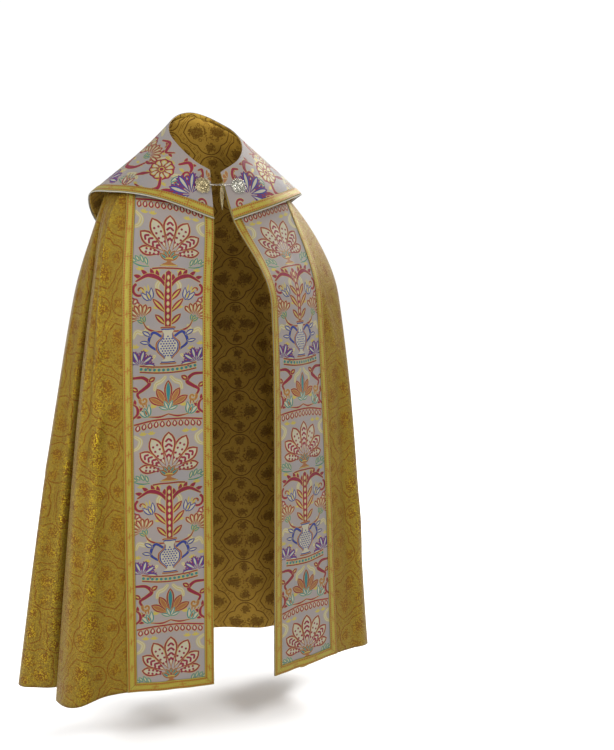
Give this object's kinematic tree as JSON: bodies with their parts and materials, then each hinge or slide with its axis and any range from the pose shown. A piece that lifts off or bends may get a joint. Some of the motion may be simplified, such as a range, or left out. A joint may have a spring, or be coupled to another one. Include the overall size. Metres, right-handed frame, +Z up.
{
  "type": "cope vestment",
  "caption": "Open-fronted semicircular ceremonial cloak with woven front bands, galloon edging, a wide pointed hood collar and a metal breast clasp.",
  "frame": {"origin": "middle of the neck opening, level with the wearer's neck, where the worn cope is carried", "axes": "+Z up, the wearer faces -Y and the wearer's right side lies at -X"},
  "size_m": [0.8744, 0.4718, 1.4967],
  "materials": {
    "brocade": "gold figured brocade, soft sheen",
    "tapestry": "matt woven tapestry, silver-lilac with coloured figures",
    "braid": "yellow-gold galloon, soft sheen",
    "lining": "dark gold-brown cloth",
    "piping": "cream cord",
    "clasp_metal": "pale gold and silver filigree"
  },
  "bodies": {
    "garment": {"cope_body": "brocade", "orphrey_right": "tapestry", "orphrey_left": "tapestry", "braid_right_inner": "braid", "braid_right_outer": "braid", "braid_right_bottom": "braid", "braid_left_inner": "braid", "braid_left_outer": "braid", "braid_left_bottom": "braid", "hood": "tapestry", "hood_lining": "lining", "hood_braid": "braid", "hood_piping": "piping", "clasp_rosette_right": "clasp_metal", "clasp_rosette_left": "clasp_metal", "clasp_bar": "clasp_metal"},
    "pendant": {"clasp_pendant": "clasp_metal"}
  },
  "joints": [
    {"name": "pendant_swing", "type": "hinge", "parent": "garment", "child": "pendant", "pos_m": [-0.01513, -0.11421, -0.05575], "axis": [-0.9914, 0.1305, -0.0081], "range_deg": [-5, 85]}
  ]
}
